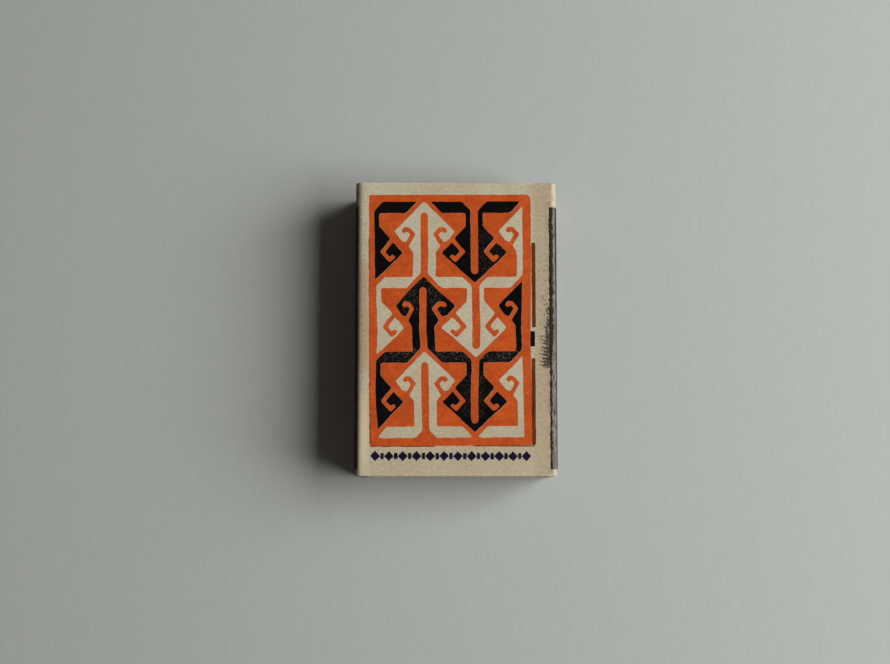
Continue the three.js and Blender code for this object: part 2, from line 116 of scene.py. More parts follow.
# How far it strays along the box at levels along it
RISE_LEVELS = (-21, -16, -11, -6, 0, 12, 17, 21.5, 24)
RISES = (0.04, 0.07, -0.08, -0.17, -0.25, -0.27, -0.27, -0.13, 0)
ORANGE_RISE = 0.028 * MM
BLACK_RISE = 0.04 * MM
INK_DEPTH = 0.02 * MM
BLACK_SHIFT = (-0.07 * MM, 0.02 * MM)
MARK_GROWTH = 0.12 * MM
MARK_SHIFT = 0.06 * MM
RULE_WIDTH = 0.68 * MM
MARK_WIDTH = 0.8 * MM
THIN_LINE = 0.16 * MM
LEFT_FOOT_END = -3.6 * MM
RIGHT_FOOT_START = 2.9 * MM
RIGHT_FOOT_RISE = 0.1 * MM
RIGHT_FOOT_OVER = 0.5 * MM
LEFT_LINE_DROP = 8 * MM
LEFT_LINE_EDGES = (-0.1 * MM, 0.06 * MM)

# Row of lozenges and bars under the panel
LOZENGES = 12
LOZENGE_PITCH = 2.44 * MM
LOZENGE_HALF = 0.88 * MM
BAR_HALF = 0.3 * MM
BAR_HEIGHT = 1.1 * MM
ROW_PLACE = -23 * MM

# Tray: the size of its mesh's cells and how far its walls have bowed and worn
TRAY_CELL = 1.6 * MM
TRAY_FLOOR_ZONE = 2 * MM
SIDE_WALL_BOW = 0.06 * MM
END_WALL_BOW = 0.09 * MM
RIM_WEAR = 0.07 * MM
RIM_ZONE = 0.05 * MM
CUT_EDGE_ZONE = 0.3 * MM

# Splints: steps along them, chamfers and the depth of their roughness
SPLINT_STATIONS = 40
SPLINT_CHAMFER = 0.1 * MM
SPLINT_BLUNTING = 0.07 * MM
SPLINT_ROUGHNESS = 0.045 * MM
SAW_DEPTH = 0.18 * MM
SAW_HOLLOW = 0.12 * MM

# Heads: their steps, sizes and the depth of their lumps, and their profile as stations of
# distance along a head and half width, both as shares
HEAD_STEPS = 18
HEAD_AROUND = 28
HEAD_WIDTH = 2.66 * MM
HEAD_LENGTH = 3.4 * MM
SPLINT_IN_HEAD = 2.3 * MM
HEAD_FILL = 0.985
HEAD_GRAIN = 0.03 * MM
HEAD_LUMPS = 0.05 * MM
HEAD_FOOT_WAVES = 0.3 * MM
HEAD_FOOT_HOLLOW = 0.25 * MM
HEAD_TIP_DIP = 0.02 * MM
HEAD_PROFILE = (
    (0, 0.8),
    (0.05, 0.87),
    (0.16, 0.94),
    (0.4, 1),
    (0.62, 0.97),
    (0.8, 0.84),
    (0.92, 0.62),
    (1, 0.26),
)

# Places of wear on the top in millimetres: from and to across the box, from and to along it
LEFT_GRIME = (-17.6, -16.3, -12, 19.5)
LEFT_TINT = (-18, -15.6, -8, 12)
COMB_STREAKS = (14.7, 16.9, -6.9, -1.2)
RUBBED_PATCH = (15.5, 17.4, -7.3, 5.2)
BROWN_SPOTS = (14.9, 16.9, -3, 13.5)
COMB_PITCH = 0.66 * MM

# Places where the black ink is worn, given in the same way, and how much each is worn
WORN_BLACK = (
    ((-15.6, 13.8, -6.1, -3.9), 0.75),
    ((-9.6, -2.3, 2.5, 9.0), 0.42),
    ((1, 5, -16, -8), 0.32),
    ((3, 12, 10, 18), 0.25),
)
WORN_INK_SOFTNESS = 0.5

# Camera, from the photograph's vanishing lines: distances in millimetres, angles in degrees
CAMERA_PLACE = (-5.31, -27.68, 236.33)
CAMERA_TURN = (6.89, -0.863, 0.056)
CAMERA_LENS = 50.44
SENSOR_WIDTH = 36

# One large soft lamp from the right and a little from the far side, its angles in degrees, and
# a floor. Distances and sizes are in metres.
LAMP_SIDE_ANGLE = 2
LAMP_HEIGHT_ANGLE = 41
LAMP_DISTANCE = 0.62
LAMP_SIZE = 0.52
LAMP_LEVEL = 0.95
WORLD_LEVEL = 0.065
WORLD_COLOUR = (1.0, 0.86, 0.78, 1)
FLOOR_COLOUR = (0.45, 0.477, 0.452, 1)
FLOOR_REACH = 3

# How far one noise lies from the next, in mesh code and in materials
WAVE_STEP = (17.3, 5.1, 9.7)
SALT_STEP = (7.3, 3.1, 5.9)
NOISE_ROUGHNESS = 0.55


# Geometry helpers


def wave(x, y, z, size, salt=0):
    """Smooth repeatable noise from -1 to 1 with features of about the given size."""
    return noise.noise(Vector((x, y, z)) / size + Vector(WAVE_STEP) * (salt + 1))


def swell(x, y, z, size, salt=0):
    """The same noise from 0 to 1."""
    return 0.5 + 0.5 * wave(x, y, z, size, salt)


def place_piece(name, mesh, body, nodes):
    """A piece that rides on a body and stands for some CAD nodes."""
    mesh.shade_smooth()
    piece = bpy.data.objects.new(name, mesh)
    bpy.context.scene.collection.objects.link(piece)
    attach(piece, body)
    if nodes:
        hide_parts(*nodes)
    return piece


def add_piece(name, points, faces, body, nodes, materials, finish_of=None):
    """A piece from points and faces, with a finish for each face where there are several."""
    mesh = bpy.data.meshes.new(name)
    mesh.from_pydata([tuple(p) for p in points], [], faces)
    for material in materials:
        mesh.materials.append(material)
    if finish_of is not None:
        mesh.polygons.foreach_set("material_index", finish_of)
    mesh.update()
    return place_piece(name, mesh, body, nodes)


def sharpen(piece, degrees):
    """Keeps the edges sharp where the faces turn by more than an angle."""
    piece.data.set_sharp_from_angle(angle=math.radians(degrees))


def spread(start, end, count):
    return [start + (end - start) * i / count for i in range(count + 1)]


def folded_stations(corners, side, radius, step):
    """Points on a folded strip's outer face, each with the direction to its inner face."""

    def inward(a, b):
        along = (b - a).normalized()
        return Vector((-along.y * side, along.x * side))

    stations = []
    last = len(corners) - 1
    for i in range(last):
        a, b = corners[i], corners[i + 1]
        along = (b - a).normalized()
        direction = inward(a, b)
        start = a + along * radius if i > 0 else a
        end = b - along * radius if i + 1 < last else b
        count = max(1, math.ceil((end - start).length / step))
        for k in range(count + 1):
            stations.append((start.lerp(end, k / count), direction))
        if i + 1 == last:
            break
        following = inward(b, corners[i + 2])
        centre = b + (direction + following) * radius
        for k in range(1, FOLD_STEPS):
            angle = math.pi / 2 * k / FOLD_STEPS
            reach = -direction * math.cos(angle) - following * math.sin(angle)
            stations.append((centre + reach * radius, -reach))
    return stations


def grid_faces(rings, size):
    """Faces through rings of equal size, and quads over both ends of a folded strip.
    A ring lists the outer face's points, then the inner face's points in reverse."""
    faces = []
    for ring in range(rings - 1):
        for i in range(size):
            a = ring * size + i
            b = ring * size + (i + 1) % size
            faces.append((a, a + size, b + size, b))
    for i in range(size // 2 - 1):
        ends = (i, i + 1, size - 2 - i, size - 1 - i)
        faces.append(ends)
        faces.append(tuple((rings - 1) * size + k for k in reversed(ends)))
    return faces


# Material helpers


class Shading:
    """A material's node tree, with short ways to add to it."""

    def __init__(self, name, roughness, specular=0.35):
        self.material = bpy.data.materials.new(name)
        self.material.use_nodes = True
        self.tree = self.material.node_tree
        self.shader = self.tree.nodes["Principled BSDF"]
        self.shader.inputs["Roughness"].default_value = roughness
        self.shader.inputs["Specular IOR Level"].default_value = specular
        self.place = self.add("ShaderNodeTexCoord").outputs["Object"]
        self.split = self.add("ShaderNodeSeparateXYZ", {0: self.place}).outputs

    def add(self, kind, inputs=None, **settings):
        made = self.tree.nodes.new(kind)
        for key, value in settings.items():
            setattr(made, key, value)
        for key, value in (inputs or {}).items():
            if isinstance(value, bpy.types.NodeSocket):
                self.tree.links.new(value, made.inputs[key])
            else:
                made.inputs[key].default_value = value
        return made

    def noise(self, size, detail=3, salt=0):
        """Noise from 0 to 1 with features of a size in millimetres, or of one for each axis."""
        sizes = size if isinstance(size, tuple) else (size, size, size)
        inputs = {0: self.place, 1: tuple(1 / (s * MM) for s in sizes)}
        scaled = self.add("ShaderNodeVectorMath", inputs, operation="MULTIPLY").outputs[0]
        inputs = {0: scaled, 1: tuple(salt * step for step in SALT_STEP)}
        moved = self.add("ShaderNodeVectorMath", inputs).outputs[0]
        inputs = {"Vector": moved, "Scale": 1, "Detail": detail, "Roughness": NOISE_ROUGHNESS}
        return self.add("ShaderNodeTexNoise", inputs).outputs["Fac"]

    def ramp(self, value, low, high, to_low=0, to_high=1):
        """A smooth step of a value from one level to another."""
        inputs = {0: value, 1: low, 2: high, 3: to_low, 4: to_high}
        made = self.add("ShaderNodeMapRange", inputs, interpolation_type="SMOOTHSTEP")
        return made.outputs[0]

    def math(self, operation, a, b=0.0):
        return self.add("ShaderNodeMath", {0: a, 1: b}, operation=operation).outputs[0]

    def times(self, *values):
        product = values[0]
        for value in values[1:]:
            product = self.math("MULTIPLY", product, value)
        return product

    def between(self, axis, low, high, soft):
        """1 where the place lies between two levels on an axis, with soft borders."""
        rising = self.ramp(self.split[axis], low - soft, low + soft)
        falling = self.ramp(self.split[axis], high - soft, high + soft, 1, 0)
        return self.math("MULTIPLY", rising, falling)

    def patch(self, area, soft):
        """1 inside a rectangle of the top, given in millimetres, with soft borders."""
        x0, x1, y0, y1 = (level * MM for level in area)
        across = self.between("X", x0, x1, soft * MM)
        along = self.between("Y", y0, y1, soft * MM)
        return self.times(across, along)

    def mix(self, share, a, b):
        inputs = {0: share, 6: a, 7: b}
        made = self.add("ShaderNodeMix", inputs, data_type="RGBA", clamp_factor=True)
        return made.outputs[2]

    def shade(self, colour, share, low, high):
        """A colour darkened or lightened by a share from 0 to 1 between two levels."""
        level = self.add("ShaderNodeMapRange", {0: share, 1: 0, 2: 1, 3: low, 4: high}).outputs[0]
        grey = self.add("ShaderNodeCombineColor", {0: level, 1: level, 2: level}).outputs[0]
        inputs = {0: 1.0, 6: colour, 7: grey}
        made = self.add("ShaderNodeMix", inputs, data_type="RGBA", blend_type="MULTIPLY")
        return made.outputs[2]

    def finish(self, colour, height=None, depth=0.0, roughness=None):
        """Links the colour, a bump of a real depth and a varied roughness to the shader."""
        self.tree.links.new(colour, self.shader.inputs["Base Color"])
        if height is not None:
            inputs = {"Height": height, "Strength": 1.0, "Distance": depth}
            normal = self.add("ShaderNodeBump", inputs).outputs["Normal"]
            self.tree.links.new(normal, self.shader.inputs["Normal"])
        if roughness is not None:
            self.tree.links.new(roughness, self.shader.inputs["Roughness"])
        return self.material


def srgb(red, green, blue):
    """A linear colour from the levels 0 to 255 that a picture shows."""

    def linear(level):
        share = level / 255
        return share / 12.92 if share <= 0.04045 else ((share + 0.055) / 1.055) ** 2.4

    return (linear(red), linear(green), linear(blue), 1)


CREAM = srgb(192, 183, 157)
CREAM_DARK = srgb(182, 167, 138)
CREAM_RIGHT = srgb(176, 160, 132)
CREAM_NEAR = srgb(184, 168, 138)
CREAM_LEFT = srgb(214, 199, 162)
GRIME = srgb(66, 42, 24)
GRIME_LEFT = srgb(84, 62, 44)
TINT_LEFT = srgb(158, 116, 76)
FOLD_SHADE_AND_GRIME = srgb(72, 50, 34)
STREAK = srgb(66, 40, 27)
RUBBED = srgb(58, 42, 32)
SPOT = srgb(112, 84, 58)
EDGE_RIGHT = srgb(128, 104, 74)
PALE_WEAR_AND_HIGHLIGHT = srgb(216, 206, 182)
WORN_INK = srgb(128, 112, 92)
GRIT = srgb(58, 42, 34)
GRIT_PALE = srgb(78, 60, 48)
GRIT_STRUCK = srgb(126, 108, 88)
GRIT_CRUST = srgb(40, 34, 24)
GRIT_SHADE = srgb(26, 19, 16)
GRIT_RIM = srgb(26, 22, 19)
GRIT_RUBBED = srgb(138, 133, 119)


# Materials


def left_wear_and_shade(s, colour):
    """Brown grime and tint along the left fold, a cleaner stretch near its end, and painted shade
    mixed with grime darkening the fold where it turns away from the lamp.
    """
    streaks = s.ramp(s.noise((0.16, 0.42, 1), 5, salt=3), 0.5, 0.68)
    grime = s.times(s.patch(LEFT_GRIME, 0.5), streaks)
    colour = s.mix(s.times(grime, 0.62), colour, GRIME_LEFT)
    colour = s.mix(s.times(s.patch(LEFT_TINT, 1), 0.4), colour, TINT_LEFT)
    bare = s.times(
        s.between("X", -17.1 * MM, -15.6 * MM, 0.6 * MM),
        s.between("Y", -25 * MM, -13 * MM, 4 * MM),
    )
    colour = s.mix(s.times(bare, 0.7), colour, CREAM_LEFT)
    # Painted shade, partly grime: the left fold darkens towards its edge, where it turns away
    # from the lamp.
    fold = s.ramp(s.split["X"], -16.6 * MM, -17.8 * MM)
    return s.mix(s.times(fold, 0.85), colour, FOLD_SHADE_AND_GRIME)


def comb_streaks(s):
    """Short leaning streaks rubbed across the right margin, each of its own length."""
    drift = s.times(s.noise(1.1, 2, salt=4), 7.0)
    leaning = s.math("ADD", s.split["Y"], s.times(s.split["X"], 0.3))
    phase = s.math("ADD", s.times(leaning, 2 * math.pi / COMB_PITCH), drift)
    combed = s.ramp(s.math("SINE", phase), 0.0, 0.75)
    patchy = s.ramp(s.noise(0.9, 3, salt=7), 0.3, 0.5)
    starts = s.noise((9, 0.5, 9), 2, salt=10)
    reach = s.math("ADD", s.split["X"], s.times(starts, 2.2 * MM))
    fading = s.ramp(reach, 15.6 * MM, 16.8 * MM)
    return s.times(s.patch(COMB_STREAKS, 0.2), combed, patchy, fading)


def rubbed_patch(s):
    """Dark speckle beside the right strip, densest near the strip and at its near end."""
    denser = s.ramp(s.split["X"], 15.4 * MM, 16.7 * MM, -0.14, 0.07)
    speckle = s.noise((0.3, 0.42, 1), 5, salt=9)
    low_part = s.ramp(s.split["Y"], 3.5 * MM, -1 * MM, -0.02, 0.09)
    cover = s.math("ADD", s.math("ADD", speckle, denser), low_part)
    return s.times(s.patch(RUBBED_PATCH, 0.3), s.ramp(cover, 0.49, 0.57))


def right_wear(s, colour):
    """Streaks, speckle, spots and a browned edge at the right."""
    colour = s.mix(s.times(comb_streaks(s), 0.95), colour, STREAK)
    colour = s.mix(s.times(rubbed_patch(s), 0.92), colour, RUBBED)
    spots = s.ramp(s.noise(0.5, 3, salt=5), 0.51, 0.65)
    colour = s.mix(s.times(s.patch(BROWN_SPOTS, 0.8), spots, 0.5), colour, SPOT)
    edge = s.ramp(s.split["X"], 15.6 * MM, 16.9 * MM)
    uneven = s.ramp(s.noise(1.1, 4, salt=6), 0.35, 0.7)
    return s.mix(s.times(edge, uneven, 0.5), colour, EDGE_RIGHT)


def end_wear_and_highlight(s, colour):
    """Pale rubbed ends, and pale corners where a fold meets an end: worn card with a painted
    highlight, stronger on the right fold that faces the lamp.
    """
    across = s.math("ABSOLUTE", s.split["X"])
    along = s.math("ABSOLUTE", s.split["Y"])
    end = s.times(s.ramp(along, 26.0 * MM, 26.5 * MM), s.ramp(s.noise(0.7, 3), 0.4, 0.6))
    colour = s.mix(s.times(end, 0.5), colour, PALE_WEAR_AND_HIGHLIGHT)
    # Pale corners: worn card plus painted highlight, stronger on the right fold, which faces the
    # lamp.
    corner = s.times(
        s.ramp(across, 17.1 * MM, 17.6 * MM),
        s.ramp(s.split["Z"], 13.4 * MM, 14.0 * MM),
        s.ramp(along, 21.4 * MM, 22.6 * MM),
        s.ramp(s.split["X"], -1 * MM, 1 * MM, 0.15, 0.5),
        s.ramp(s.noise(0.6, 3, salt=8), 0.3, 0.5),
    )
    return s.mix(corner, colour, PALE_WEAR_AND_HIGHLIGHT)


def card_material():
    """Printed side of the sleeve's card: aged cream with fibres, grime and worn folds, with
    painted shade on the left fold and a painted highlight on the right fold's corners.
    """
    s = Shading("card_printed_side", 0.82, 0.25)
    colour = s.mix(s.ramp(s.noise(9, 4), 0.35, 0.75), CREAM, CREAM_DARK)
    margin = s.ramp(s.split["X"], 13.2 * MM, 14.6 * MM)
    colour = s.mix(s.times(margin, 0.75), colour, CREAM_RIGHT)
    near_part = s.ramp(s.split["Y"], -8 * MM, -22 * MM)
    colour = s.mix(s.times(near_part, 0.5), colour, CREAM_NEAR)
    fibres = s.noise((0.9, 0.25, 0.9), 4)
    colour = s.shade(colour, fibres, 0.72, 1.28)
    grain = s.noise(0.45, 4, salt=1)
    colour = s.shade(colour, grain, 0.75, 1.25)
    specks = s.ramp(s.noise(0.32, 2, salt=2), 0.68, 0.76)
    colour = s.mix(s.times(specks, 0.55), colour, GRIME)
    colour = left_wear_and_shade(s, colour)
    colour = right_wear(s, colour)
    colour = end_wear_and_highlight(s, colour)
    height = s.math("ADD", s.times(fibres, 0.6), s.times(grain, 0.4))
    return s.finish(colour, height, 0.035 * MM)


def raw_card_material(name, colour, dark):
    """Unprinted side of the card: greyish fibres with darker bits in the pulp."""
    s = Shading(name, 0.92, 0.2)
    tone = s.mix(s.ramp(s.noise(6, 4), 0.3, 0.75), colour, dark)
    fibres = s.noise((0.25, 1.2, 0.5), 4, salt=1)
    tone = s.shade(tone, fibres, 0.82, 1.16)
    bits = s.ramp(s.noise(0.3, 2, salt=2), 0.66, 0.73)
    tone = s.mix(s.times(bits, 0.45), tone, srgb(96, 78, 56))
    pale = s.ramp(s.noise(0.26, 2, salt=3), 0.68, 0.75)
    tone = s.mix(s.times(pale, 0.4), tone, srgb(206, 196, 174))
    return s.finish(tone, fibres, 0.05 * MM)


def cut_edge_material():
    """Cut edge of the card: pale torn fibres in thin plies."""
    s = Shading("card_cut_edge", 0.95, 0.15)
    plies = s.noise((0.5, 0.5, 0.09), 3, salt=1)
    colour = s.mix(plies, srgb(150, 136, 112), srgb(206, 195, 170))
    grit = s.noise(0.2, 3, salt=2)
    colour = s.shade(colour, grit, 0.8, 1.15)
    return s.finish(colour, grit, 0.06 * MM)


def striker_material():
    """Dark brown grit, scratched along its length and rubbed grey where it crosses the fold, with
    painted shade on the left strip's upper part.
    """
    s = Shading("striker_grit", 0.9, 0.3)
    colour = s.mix(s.ramp(s.noise(3, 4), 0.35, 0.7), GRIT, GRIT_PALE)
    grit = s.noise(0.14, 2, salt=1)
    colour = s.shade(colour, grit, 0.6, 1.35)
    scratches = s.noise((0.16, 4, 0.16), 3, salt=2)
    on_wall = s.ramp(s.split["Z"], 13.2 * MM, 12.2 * MM)
    struck = s.times(s.ramp(scratches, 0.56, 0.68), on_wall, s.ramp(s.noise(5), 0.35, 0.6))
    colour = s.mix(s.times(struck, 0.6), colour, GRIT_STRUCK)
    across = s.math("ABSOLUTE", s.split["X"])
    wavering = s.math("ADD", across, s.times(s.noise(0.7, 4, salt=6), 0.9 * MM))
    wider_far = s.ramp(s.split["Y"], -8 * MM, -1 * MM, 0.02 * MM, -0.34 * MM)
    border = s.math("ADD", wavering, wider_far)
    on_top = s.ramp(s.split["Z"], 14.0 * MM, 14.25 * MM)
    flecked = s.ramp(s.noise(0.24, 3, salt=4), 0.36, 0.5, 0.45, 1)
    crust = s.times(on_top, flecked, s.ramp(border, 17.64 * MM, 17.5 * MM))
    colour = s.mix(s.times(crust, 0.9), colour, GRIT_CRUST)
    # Painted shade: the left strip's upper part, on the side away from the lamp, is darkened to
    # near black.
    left_side = s.ramp(s.split["X"], 1 * MM, -1 * MM)
    left_shade_band = s.times(s.ramp(s.split["Z"], 12.9 * MM, 13.6 * MM), left_side)
    colour = s.mix(s.times(left_shade_band, 0.85), colour, GRIT_SHADE)
    on_fold = s.ramp(s.split["Z"], 13.5 * MM, 13.9 * MM)
    rim = s.times(on_fold, s.ramp(across, 17.86 * MM, 17.97 * MM))
    colour = s.mix(s.times(rim, 0.8), colour, GRIT_RIM)
    over_fold = s.times(
        on_top,
        s.ramp(border, 17.52 * MM, 17.68 * MM),
        s.ramp(across, 17.95 * MM, 17.85 * MM),
        s.ramp(s.split["X"], -1 * MM, 1 * MM, 0.05, 1),
    )
    rubbed = s.ramp(s.noise((0.1, 1.3, 0.1), 5, salt=3), 0.4, 0.53)
    colour = s.mix(s.times(over_fold, rubbed, 0.92), colour, GRIT_RUBBED)
    height = s.math("ADD", s.times(grit, 0.8), s.times(scratches, 0.3))
    return s.finish(colour, height, 0.09 * MM)


def ink_material(name, colour, deep, wear, rough, worn_to=CREAM, worn_places=()):
    """Printing ink on card: uneven cover, the card's laid lines and small bare specks."""
    s = Shading(name, rough, 0.04)
    tone = s.mix(s.ramp(s.noise(2.2, 5), 0.3, 0.7), colour, deep)
    laid = s.noise((0.5, 0.13, 1), 2, salt=1)
    chain = s.noise((0.13, 0.6, 1), 2, salt=2)
    tone = s.shade(tone, laid, 0.82, 1.18)
    tone = s.shade(tone, chain, 0.84, 1.16)
    tone = s.shade(tone, s.noise(0.42, 3, salt=6), 0.62, 1.38)
    specks = s.ramp(s.noise(0.3, 2, salt=4), 0.78 - wear, 0.84 - wear)
    tone = s.mix(s.times(specks, 0.75), tone, worn_to)
    for area, share in worn_places:
        thin = s.ramp(s.noise(0.19, 3, salt=5), 0.56, 0.66)
        tone = s.mix(s.times(thin, s.patch(area, WORN_INK_SOFTNESS), share), tone, worn_to)
    height = s.math("ADD", s.times(laid, 0.5), s.times(chain, 0.5))
    return s.finish(tone, height, 0.03 * MM)


def wood_material(seed):
    """Pale aspen: fine grain along the splint and a few darker fibres."""
    s = Shading(f"aspen_{seed}", 0.72, 0.3)
    pale = srgb(222, 196, 146)
    tawny = srgb(196, 160, 104)
    grain = s.noise((0.22, 7, 0.22), 4, salt=seed)
    colour = s.mix(s.ramp(grain, 0.3, 0.7), pale, tawny)
    fine = s.noise((0.09, 1.4, 0.09), 2, salt=seed + 5)
    pores = s.ramp(fine, 0.62, 0.7)
    colour = s.mix(s.times(pores, 0.5), colour, srgb(150, 112, 64))
    return s.finish(colour, grain, 0.06 * MM)


def paste_material():
    """Match head: dull dark red paste with a fine grain and a paler dust."""
    s = Shading("head_paste", 0.78, 0.35)
    colour = s.mix(s.ramp(s.noise(1.1, 4), 0.35, 0.7), srgb(94, 30, 24), srgb(66, 20, 18))
    grain = s.noise(0.12, 3, salt=1)
    colour = s.shade(colour, grain, 0.7, 1.3)
    dust = s.ramp(s.noise(0.2, 2, salt=2), 0.68, 0.75)
    colour = s.mix(s.times(dust, 0.4), colour, srgb(150, 96, 84))
    return s.finish(colour, grain, 0.08 * MM)


def floor_material():
    """Plain pale floor with a barely seen mottling."""
    s = Shading("pale_floor", 0.9, 0.2)
    laid = s.noise((0.5, 4, 1), 3)
    colour = s.shade(FLOOR_COLOUR, laid, 0.94, 1.06)
    colour = s.shade(colour, s.noise(0.6, 3, salt=1), 0.97, 1.03)
    return s.finish(colour)


CARD_PRINTED = card_material()
CARD_RAW = raw_card_material("card_raw_side", srgb(168, 152, 122), srgb(146, 128, 98))
CARD_EDGE = cut_edge_material()
TRAY_CARD = raw_card_material("tray_card", srgb(186, 172, 144), srgb(166, 150, 120))
STRIKER_GRIT = striker_material()


# Sleeve

sleeve_low, sleeve_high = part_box("sleeve")
HALF_WIDTH = (sleeve_high.x - sleeve_low.x) / 2
HALF_LENGTH = (sleeve_high.y - sleeve_low.y) / 2
HEIGHT = sleeve_high.z
FLAP_FACE = -HALF_WIDTH + CARD + GLUE_LINE


def top_sink(x, y):
    """How far the card of the top lies below its folds."""
    bow = TOP_SINK * max(0.0, 1 - (x / (HALF_WIDTH - FOLD_RADIUS)) ** 2)
    waves = TOP_WAVES * swell(x, y, 0, 9 * MM)
    return bow + waves * min(1.0, bow / (0.3 * TOP_SINK))


def side_sink(y, z):
    """How far a side wall's card lies inside its folds."""
    rise = math.sin(math.pi * min(1.0, max(0.0, z / HEIGHT)))
    return SIDE_SINK * rise * (0.7 + 0.3 * wave(0, y, z, 8 * MM, 1))


def settled(x, y, z, facing):
    """A point of the sleeve's section moved as the worn card has settled."""
    on_top = max(0.0, facing.y) ** 2 if z > HEIGHT / 2 else 0.0
    x -= math.copysign(side_sink(y, z), x) * facing.x**2
    x += x / HALF_WIDTH * FAR_FLARE * (y + HALF_LENGTH) / (2 * HALF_LENGTH)
    z -= top_sink(x, y) * on_top
    return x, z


def crush(x, y, z):
    """How far the folds' ends on the top have been pushed in."""
    end = max(0.0, 1 - (HALF_LENGTH - abs(y)) / CORNER_REACH)
    fold = max(0.0, 1 - math.hypot(abs(x) - HALF_WIDTH, z - HEIGHT) / CRUSH_SPREAD)
    return CORNER_CRUSH * end**2 * fold * (0.7 + 0.5 * wave(x, y, z, 0.5 * MM, 4))


def sleeve_stations():
    """Places of the rings along the sleeve, closer together at both cut ends."""
    ease = [0, 0.06, 0.16, 0.34, 0.62]
    near = [-HALF_LENGTH + e * MM for e in ease]
    far = [HALF_LENGTH - e * MM for e in reversed(ease)]
    return near + spread(-HALF_LENGTH + MM, HALF_LENGTH - MM, STATIONS_ALONG) + far


def make_sleeve():
    corners = [
        Vector((-HALF_WIDTH, SEAM_EDGE_LIFT)),
        Vector((-HALF_WIDTH, HEIGHT)),
        Vector((HALF_WIDTH, HEIGHT)),
        Vector((HALF_WIDTH, 0)),
        Vector((FLAP_FACE, 0)),
        Vector((FLAP_FACE, HEIGHT - CARD - GLUE_FLAP_DROP)),
    ]
    section = folded_stations(corners, -1, FOLD_RADIUS, FLAT_STEP)
    stations = sleeve_stations()
    points = []
    for y in stations:
        to_end = HALF_LENGTH - abs(y)
        outer = []
        inner = []
        for at, direction in section:
            facing = -direction
            crushed = END_CRUSH if to_end < TOUCHING else 0.0
            for depth, row in ((crushed, outer), (CARD - crushed, inner)):
                here = at + direction * depth
                x, z = settled(here.x, y, here.y, facing)
                push = crush(x, y, z)
                x -= math.copysign(push, x)
                z -= push * 0.8 if z > HEIGHT / 2 else 0.0
                fuzz = CUT_FUZZ * swell(x, y, z, 0.35 * MM, 2)
                end_pull = (fuzz + push) * max(0.0, 1 - to_end / END_PULL)
                row.append((x, y - math.copysign(end_pull, y), max(0.0, z)))
        points += outer + inner[::-1]
    size = 2 * len(section)
    faces = grid_faces(len(stations), size)
    count = len(section)
    ring_finish = [0] * (count - 1) + [2] + [1] * (size - 1 - count) + [2]
    finish_of = ring_finish * (len(stations) - 1)
    finish_of += [2] * (len(faces) - len(finish_of))
    materials = [CARD_PRINTED, CARD_RAW, CARD_EDGE]
    name = "sleeve_card_strip"
    piece = add_piece(
        name, points, faces, "sleeve", ["sleeve"], materials, finish_of
    )
    sharpen(piece, 50)


# Striking strips


def cut_back_lap(x, z, y, side, reach):
    """A point of the left strip's section past its end on the fold, brought back to that end."""
    fold_end = HALF_WIDTH - FOLD_RADIUS
    turn = math.degrees(math.atan2(z - (HEIGHT - FOLD_RADIUS), abs(x) - fold_end))
    if turn <= LEFT_LAP_TURN:
        return None
    end_turn = math.radians(LEFT_LAP_TURN + LEFT_LAP_WAVER * wave(0, y, 0, 1.2 * MM, 15))
    over = min(1.0, (turn - LEFT_LAP_TURN) / LEFT_LAP_ROUNDING) * LEFT_LAP_OVER
    x = side * (fold_end + reach * math.cos(end_turn + over))
    z = HEIGHT - FOLD_RADIUS + reach * math.sin(end_turn + over)
    return x, z, Vector((-side * math.cos(end_turn), -math.sin(end_turn)))


def lap_wear(y, side):
    """How much of a strip's lap over the fold has worn off at a level along it."""
    wear = STRIP_LAP_WEAR * swell(0, y, 0, 1.1 * MM, 5 + side)
    wear *= 0.5 if y > 0 else 0.5 - 0.5 * max(-1.0, y / FAR_WEAR_REACH)
    return wear + STRIP_FINE_WEAR * wave(0, y, 0, 0.3 * MM, 6)


